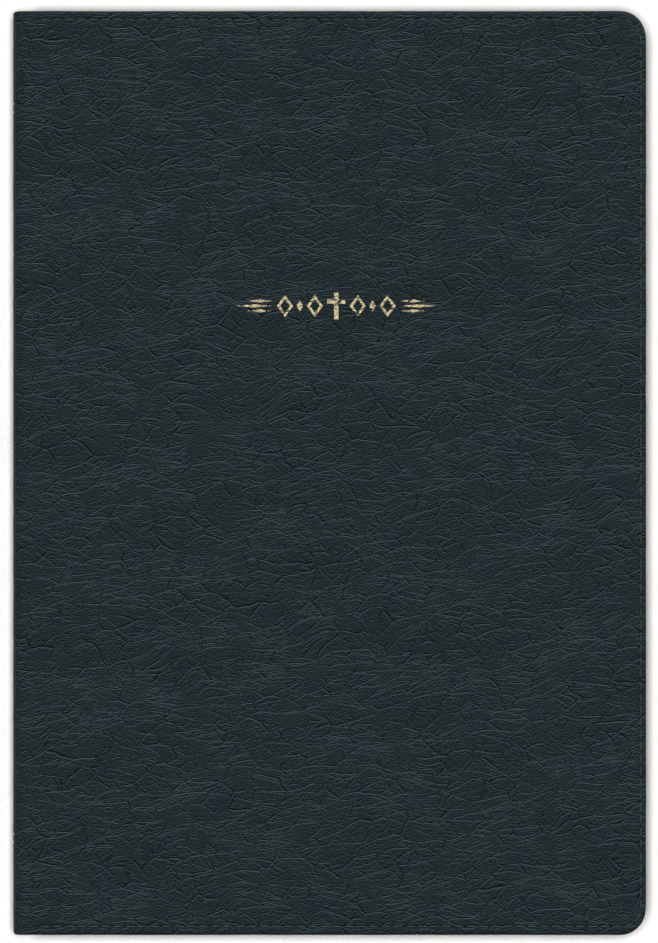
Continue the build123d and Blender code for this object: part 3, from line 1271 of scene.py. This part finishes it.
def make_ribbon():
    bpy.ops.mesh.primitive_grid_add(x_subdivisions=14, y_subdivisions=230, size=1)
    ribbon = bpy.context.object
    ribbon.name = "satin_ribbon"

    def laid(x, y, z):
        along = (y + 0.5) * ribbon_long
        slant = slant_rise * (x + 0.5) * np.clip(1 - along / slant_reach, 0, 1)
        wave = wave_height * (np.sin(along / (17 * MM)) + np.sin(x * 4 + along / (7 * MM)))
        return (
            ribbon_low.x + (x + 0.5) * ribbon_wide,
            ribbon_low.y + along + slant,
            np.full_like(z, ribbon_low.z + ribbon_lift) + wave,
        )

    move_all(ribbon, laid)
    thick = ribbon.modifiers.new("thickness", "SOLIDIFY")
    thick.thickness, thick.offset = 0.1 * MM, 0
    apply_modifiers(ribbon)
    smooth(ribbon, 40)
    return ribbon


def make_satin():
    """Woven satin: ribs across the ribbon, and a shine along them."""
    material, tree, shader = new_material("satin ribbon")
    place = coordinates(tree)
    ribs = node(
        tree,
        "ShaderNodeTexNoise",
        {"Vector": stretched(tree, place, (3, 0.16, 3)), "Scale": 1.0, "Detail": 1.0},
    )
    wear = node(tree, "ShaderNodeTexNoise", {"Vector": stretched(tree, place, (5, 14, 5)), "Scale": 1.0})
    cloth = node(
        tree,
        "ShaderNodeMath",
        node(tree, "ShaderNodeMath", ribs, 0.55, operation="MULTIPLY"),
        node(tree, "ShaderNodeMath", wear, 0.45, operation="MULTIPLY"),
        operation="ADD",
    )
    tree.links.new(
        node(tree, "ShaderNodeValToRGB", cloth, stops=[(0.35, "#561520"), (0.62, "#86293A")]),
        shader.inputs["Base Color"],
    )
    tree.links.new(
        node(
            tree,
            "ShaderNodeBump",
            {"Height": node(tree, "ShaderNodeMath", ribs, 0.05, operation="MULTIPLY"), "Distance": MM},
        ),
        shader.inputs["Normal"],
    )
    shader.inputs["Roughness"].default_value = 0.55
    shader.inputs["Specular IOR Level"].default_value = 0.25
    shader.inputs["Anisotropic"].default_value = 0.4
    shader.inputs["Sheen Weight"].default_value = 0.08
    return material


satin_ribbon = make_ribbon()
satin_ribbon.data.materials.append(make_satin())

# %% [markdown]
# ## Paper that crosses a hinge
#
# Three strips of paper bend when the book opens. At each cover the endpaper runs from the board over the
# joint to the block, and in the middle of the book the innermost folded sheet of a section spans the
# gutter. Each is a narrow strip whose section is drawn point by point, and which is then extruded along
# the spine.


# %% Strips across the joints and the gutter
def make_strip(name, section, half_length, thickness):
    """Extrudes a section, given as (x, z) points, along the spine in steps of five millimetres."""
    mesh = bpy.data.meshes.new(name)
    points = [(x, -half_length, z) for x, z in section]
    mesh.from_pydata(points, [(n, n + 1) for n in range(len(section) - 1)], [])
    strip = bpy.data.objects.new(name, mesh)
    bpy.context.scene.collection.objects.link(strip)
    steps = round(2 * half_length / (5 * MM))
    pick(strip, "VERT", lambda x, y, z: x > -np.inf)
    bpy.context.tool_settings.mesh_select_mode = (False, True, False)
    bpy.ops.mesh.select_all(action="SELECT")
    for _ in range(steps):
        bpy.ops.mesh.extrude_edges_move(TRANSFORM_OT_translate={"value": (0, 2 * half_length / steps, 0)})
    bpy.ops.object.mode_set(mode="OBJECT")
    thick = strip.modifiers.new("thickness", "SOLIDIFY")
    thick.thickness, thick.offset = thickness, 0
    apply_modifiers(strip)
    clean(strip)
    smooth(strip, 60)
    return strip


def joint_section():
    """From the free endpaper round its fold, up the shoulder, along the leather over the joint, and down the
    slope at the edge of the board to the pastedown."""
    paper, leather = endpaper_high.z + 0.02 * MM, board_high.z - 0.1 * MM
    fold, board, pasted = endpaper_low.x, board_low.x, pastedown_low.z - 0.03 * MM
    corner = 0.85 * MM
    section = [(fold + 0.5 * MM, paper), (fold + 0.3 * MM, paper), (fold + 0.1 * MM, paper + 0.06 * MM)]
    section += [(fold, paper + 0.2 * MM), (fold, paper + 0.6 * MM)]
    for step in range(8):
        turn = math.pi / 2 * step / 7
        section.append((fold + corner * (1 - math.cos(turn)), leather - corner * (1 - math.sin(turn))))
    section += [(joint_x + reach * MM, leather) for reach in (-0.3, -0.1, 0.1, 0.3, 0.5)]
    edge = leather_low.z - 0.04 * MM
    for share in (0.1, 0.3, 0.5, 0.7, 0.9):
        slope = float(easing(share, 0, 1))
        section.append((board - (1.08 - 0.9 * share) * MM, leather - (leather - edge) * slope))
    section += [(board + reach * MM, edge) for reach in (-0.06, 0.1, 0.3)]
    section += [(board + 0.8 * MM, pasted), (board + 1.6 * MM, pasted)]
    return section


def gutter_section():
    """Along the top of the back half's last section, in between the two halves of the linings to the fold,
    and back along the front half's first section."""
    low_z, between_z = 2 * middle_z - top_leaf_low.z + 0.025 * MM, middle_z - 0.1 * MM
    fold_x = spine_x + 0.45 * MM
    half = [(top_leaf_low.x + reach * MM, low_z) for reach in (6, 3, 1, 0.05)]
    half += [(top_leaf_low.x - 0.15 * MM, (low_z + between_z) / 2)]
    half += [(top_leaf_low.x - reach * MM, between_z) for reach in (0.35, 0.7)] + [(fold_x, between_z)]
    fold = []
    for step in range(1, 8):
        turn = math.pi * step / 8
        fold.append((fold_x - 0.1 * MM * math.sin(turn), middle_z - 0.1 * MM * math.cos(turn)))
    return half + fold + [(x, 2 * middle_z - z) for x, z in reversed(half)]


# The joint papers stop just short of the turn-ins at head and tail.
joint_paper_half = 108.4 * MM
front_joint_paper = make_strip("front_joint_paper", joint_section(), joint_paper_half, 0.04 * MM)
back_joint_paper = copy_of(front_joint_paper, "back_joint_paper")
move_all(back_joint_paper, lambda x, y, z: (x, y, top_z - z))
clean(back_joint_paper)
gutter_sheet = make_strip("gutter_sheet", gutter_section(), top_leaf_high.y - 0.3 * MM, 0.03 * MM)

# %% [markdown]
# ## Papers, board and cloth
#
# What is left of the book keeps the CAD parts' own shape: the sections of thin bible paper with gilt
# edges, the endpapers, the grey boards, and the mull and linen thread that hold the spine. They get their
# looks from their materials only.


# %% Bible paper with gilt edges
def gilt_share(tree):
    """1 on the three cut edges of the pages, and 0 on their faces and along the folds at the spine."""
    facing = node(tree, "ShaderNodeTexCoord", out="Normal")
    parts = node(tree, "ShaderNodeSeparateXYZ", facing, out=None).outputs
    upright = node(
        tree,
        "ShaderNodeMath",
        node(tree, "ShaderNodeMath", parts["Z"], operation="ABSOLUTE"),
        0.7,
        operation="LESS_THAN",
    )
    away_from_spine = node(tree, "ShaderNodeMath", parts["X"], -0.3, operation="GREATER_THAN")
    return node(tree, "ShaderNodeMath", upright, away_from_spine, operation="MULTIPLY")


def paper_shade(tree, shader, place, colours):
    """Uncoated paper: a cloudy tone, faint fibres in the surface, and no gloss."""
    cloudy = node(
        tree,
        "ShaderNodeTexNoise",
        {"Vector": stretched(tree, place, (9, 13, 9)), "Scale": 1.0, "Detail": 4.0, "Roughness": 0.65},
    )
    fibres = node(
        tree,
        "ShaderNodeTexNoise",
        {"Vector": stretched(tree, place, (0.5, 0.25, 0.5)), "Scale": 1.0, "Roughness": 0.6},
    )
    tone = node(
        tree,
        "ShaderNodeMath",
        node(tree, "ShaderNodeMath", cloudy, 0.7, operation="MULTIPLY"),
        node(tree, "ShaderNodeMath", fibres, 0.3, operation="MULTIPLY"),
        operation="ADD",
    )
    tree.links.new(
        node(
            tree,
            "ShaderNodeBump",
            {"Height": node(tree, "ShaderNodeMath", fibres, 0.02, operation="MULTIPLY"), "Distance": MM},
        ),
        shader.inputs["Normal"],
    )
    shader.inputs["Roughness"].default_value = 0.85
    shader.inputs["Specular IOR Level"].default_value = 0.15
    return node(tree, "ShaderNodeValToRGB", tone, stops=[(0.35, colours[0]), (0.65, colours[1])])


def print_share(tree, place):
    """Lines of print in two columns, as grey dashes the size of words: 1 where there is ink.
    All sizes are in mm, and the shift makes each line draw its words from another row of the noise."""
    line_pitch, row_shift = 3.1, 7.3
    page_middle, column_middle, column_half = 1.5, 33.5, 31.0
    below_middle, print_half = 2.0, 102.0
    parts = node(tree, "ShaderNodeSeparateXYZ", place, out=None).outputs
    across, along = parts["X"], parts["Y"]
    row = node(tree, "ShaderNodeMath", along, line_pitch, operation="DIVIDE")
    line = node(tree, "ShaderNodeMath", row, operation="FLOOR")
    in_line = node(
        tree,
        "ShaderNodeMath",
        node(tree, "ShaderNodeMath", row, operation="FRACT"),
        0.5,
        0.21,
        operation="COMPARE",
    )
    from_gutter = node(
        tree,
        "ShaderNodeMath",
        node(
            tree,
            "ShaderNodeMath",
            node(tree, "ShaderNodeMath", across, -page_middle, operation="ADD"),
            operation="ABSOLUTE",
        ),
        column_middle,
        operation="SUBTRACT",
    )
    in_column = node(tree, "ShaderNodeMath", from_gutter, 0.0, column_half, operation="COMPARE")
    in_height = node(
        tree,
        "ShaderNodeMath",
        node(
            tree,
            "ShaderNodeMath",
            node(tree, "ShaderNodeMath", along, below_middle, operation="ADD"),
            operation="ABSOLUTE",
        ),
        print_half,
        operation="LESS_THAN",
    )
    noise_row = node(tree, "ShaderNodeMath", line, row_shift, operation="MULTIPLY")
    spot = node(tree, "ShaderNodeCombineXYZ", across, noise_row)
    words = node(
        tree,
        "ShaderNodeTexNoise",
        {"Vector": stretched(tree, spot, (2.1, 1, 1)), "Scale": 1.0, "Detail": 1.0},
        noise_dimensions="2D",
    )
    letters = node(
        tree,
        "ShaderNodeTexNoise",
        {"Vector": stretched(tree, spot, (0.35, 1, 1)), "Scale": 1.0, "Detail": 1.0},
        noise_dimensions="2D",
    )
    inked = node(tree, "ShaderNodeMath", words, 0.41, operation="GREATER_THAN")
    weight = node(tree, "ShaderNodeMath", letters, 0.9, 0.15, operation="MULTIPLY_ADD")
    for part in (in_line, in_column, in_height, inked):
        weight = node(tree, "ShaderNodeMath", weight, part, operation="MULTIPLY")
    return weight


def make_pages(name, printed=False, gilt_edges=True):
    """Bible paper, with or without print, and with or without gilt where it is cut."""
    material, tree, shader = new_material(name)
    place = coordinates(tree)
    tone = paper_shade(tree, shader, place, ("#EDE8DA", "#F2EDE0"))
    if printed:
        ink = print_share(tree, place)
        tone = node(tree, "ShaderNodeMix", {0: ink, 6: tone, 7: colour("#34312D")}, out=2, data_type="RGBA")
    if gilt_edges:
        gilt = gilt_share(tree)
        leaves = node(
            tree,
            "ShaderNodeTexNoise",
            {
                "Vector": stretched(tree, place, (14, 14, 0.07)),
                "Scale": 1.0,
                "Detail": 3.0,
                "Roughness": 0.6,
            },
        )
        edge = node(
            tree,
            "ShaderNodeValToRGB",
            leaves,
            stops=[(0.32, "#8A6A2E"), (0.5, "#C7A45A"), (0.68, "#E8CC8C")],
        )
        tone = node(tree, "ShaderNodeMix", {0: gilt, 6: tone, 7: edge}, out=2, data_type="RGBA")
        tree.links.new(
            node(tree, "ShaderNodeMath", gilt, 0.6, operation="MULTIPLY"), shader.inputs["Metallic"]
        )
        tree.links.new(
            node(tree, "ShaderNodeMath", gilt, -0.4, 0.85, operation="MULTIPLY_ADD"),
            shader.inputs["Roughness"],
        )
        ridges = node(
            tree,
            "ShaderNodeMath",
            leaves,
            node(tree, "ShaderNodeMath", gilt, 0.05, operation="MULTIPLY"),
            operation="MULTIPLY",
        )
        tree.links.new(
            node(tree, "ShaderNodeBump", {"Height": ridges, "Distance": MM}), shader.inputs["Normal"]
        )
    tree.links.new(tone, shader.inputs["Base Color"])
    return material


# %% The other papers, the board and the cloth
def make_plain(name, colours, size, relief, rough=0.85):
    """A dull material of two tones, whose pattern has a size and a relief in mm."""
    material, tree, shader = new_material(name)
    place = coordinates(tree)
    pattern = node(
        tree,
        "ShaderNodeTexNoise",
        {"Vector": stretched(tree, place, size), "Scale": 1.0, "Detail": 3.0, "Roughness": 0.6},
    )
    tree.links.new(
        node(tree, "ShaderNodeValToRGB", pattern, stops=[(0.35, colours[0]), (0.65, colours[1])]),
        shader.inputs["Base Color"],
    )
    tree.links.new(
        node(
            tree,
            "ShaderNodeBump",
            {"Height": node(tree, "ShaderNodeMath", pattern, relief, operation="MULTIPLY"), "Distance": MM},
        ),
        shader.inputs["Normal"],
    )
    shader.inputs["Roughness"].default_value = rough
    shader.inputs["Specular IOR Level"].default_value = 0.2
    return material


def make_mull():
    """Mull: an open, starched weave of cotton, drawn by the threads' own wave in both directions."""
    thread_pitch = 0.9
    material, tree, shader = new_material("starched mull")
    place = coordinates(tree)
    parts = node(tree, "ShaderNodeSeparateXYZ", place, out=None).outputs
    across = node(tree, "ShaderNodeMath", parts["X"], parts["Z"], operation="ADD")
    waves = []
    for way in (across, parts["Y"]):
        turns = node(tree, "ShaderNodeMath", way, 2 * math.pi / thread_pitch, operation="MULTIPLY")
        waves.append(node(tree, "ShaderNodeMath", turns, operation="SINE"))
    weave = node(tree, "ShaderNodeMath", waves[0], waves[1], operation="MAXIMUM")
    tree.links.new(
        node(tree, "ShaderNodeValToRGB", weave, stops=[(0.0, "#8E8572"), (0.75, "#D8D0BC")]),
        shader.inputs["Base Color"],
    )
    tree.links.new(
        node(
            tree,
            "ShaderNodeBump",
            {"Height": node(tree, "ShaderNodeMath", weave, 0.06, operation="MULTIPLY"), "Distance": MM},
        ),
        shader.inputs["Normal"],
    )
    shader.inputs["Roughness"].default_value = 0.9
    return material


def make_endpaper():
    """Endpaper: heavier and creamier than the pages, but just as dull."""
    material, tree, shader = new_material("cream endpaper")
    tree.links.new(
        paper_shade(tree, shader, coordinates(tree), ("#E7DECA", "#EDE5D3")), shader.inputs["Base Color"]
    )
    return material


bible_paper = make_pages("gilt-edged bible paper")
printed_paper = make_pages("printed bible paper", printed=True)
inner_paper = make_pages("bible paper", gilt_edges=False)
endpaper = make_endpaper()
looks = {
    "board": make_plain("grey bookbinding board", ("#8C8A84", "#A9A69E"), (1.5, 0.8, 0.4), 0.05),
    "pastedown": endpaper,
    "free_endpaper": endpaper,
    "blank_leaf": bible_paper,
    "signature": bible_paper,
    "opening_leaf": printed_paper,
    "mull": make_mull(),
    "lining": make_plain("kraft lining paper", ("#A58A63", "#BFA57C"), (1.2, 3, 1.2), 0.03),
    "sewing_thread": make_plain("linen sewing thread", ("#C9BFA4", "#E6DDC6"), (0.3, 0.3, 0.3), 0.06),
}
for name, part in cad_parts.items():
    for key, material in looks.items():
        if key in name:
            part.data.materials.clear()
            part.data.materials.append(material)
for piece in (front_joint_paper, back_joint_paper):
    piece.data.materials.append(endpaper)
gutter_sheet.data.materials.append(inner_paper)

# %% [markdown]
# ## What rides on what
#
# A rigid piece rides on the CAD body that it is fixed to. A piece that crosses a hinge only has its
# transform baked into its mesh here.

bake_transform(front_leather)
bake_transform(back_leather)
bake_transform(spine_leather)
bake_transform(spine_foil)
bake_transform(gutter_sheet)
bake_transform(front_joint_paper)
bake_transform(back_joint_paper)
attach(front_stitching, "front_cover")
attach(cover_ornament, "front_cover")
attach(back_stitching, "back_cover")
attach(satin_ribbon, "right_leaf")
for replaced, (band, body) in bands.items():
    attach(band, body)
    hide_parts(replaced)

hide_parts("front_cover_leather")
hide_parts("back_cover_leather")
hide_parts("front_spine_leather", "back_spine_leather")
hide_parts("front_spine_rules", "back_spine_rules")
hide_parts("front_cover_stitching")
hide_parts("back_cover_stitching")
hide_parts("front_cover_ornament")
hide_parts("ribbon_marker")

# %% What each piece is made of
slots = {
    "leather": [front_leather, back_leather, spine_leather],
    "stitching": [front_stitching, back_stitching],
    "gold_foil": [cover_ornament, spine_foil],
    "band_silk": [band for band, _ in bands.values()],
    "ribbon": [satin_ribbon],
    "endpaper": [front_joint_paper, back_joint_paper],
    "page_paper": [gutter_sheet],
}
for name, pieces in slots.items():
    print(f"{name}: {len(pieces)}")

# %% [markdown]
# ## Measure and finish
#
# The size of the bound book as CAD made it, and the size of what is seen, are printed side by side.

# %% Print the sizes and finish
seen_low, seen_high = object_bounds()
sizes = {
    "cad": [list(cad_low), list(cad_high)],
    "seen": [list(seen_low), list(seen_high)],
}
for name, (low, high) in sizes.items():
    print(name, "size in mm:", [round((b - a) / MM, 2) for a, b in zip(low, high)])
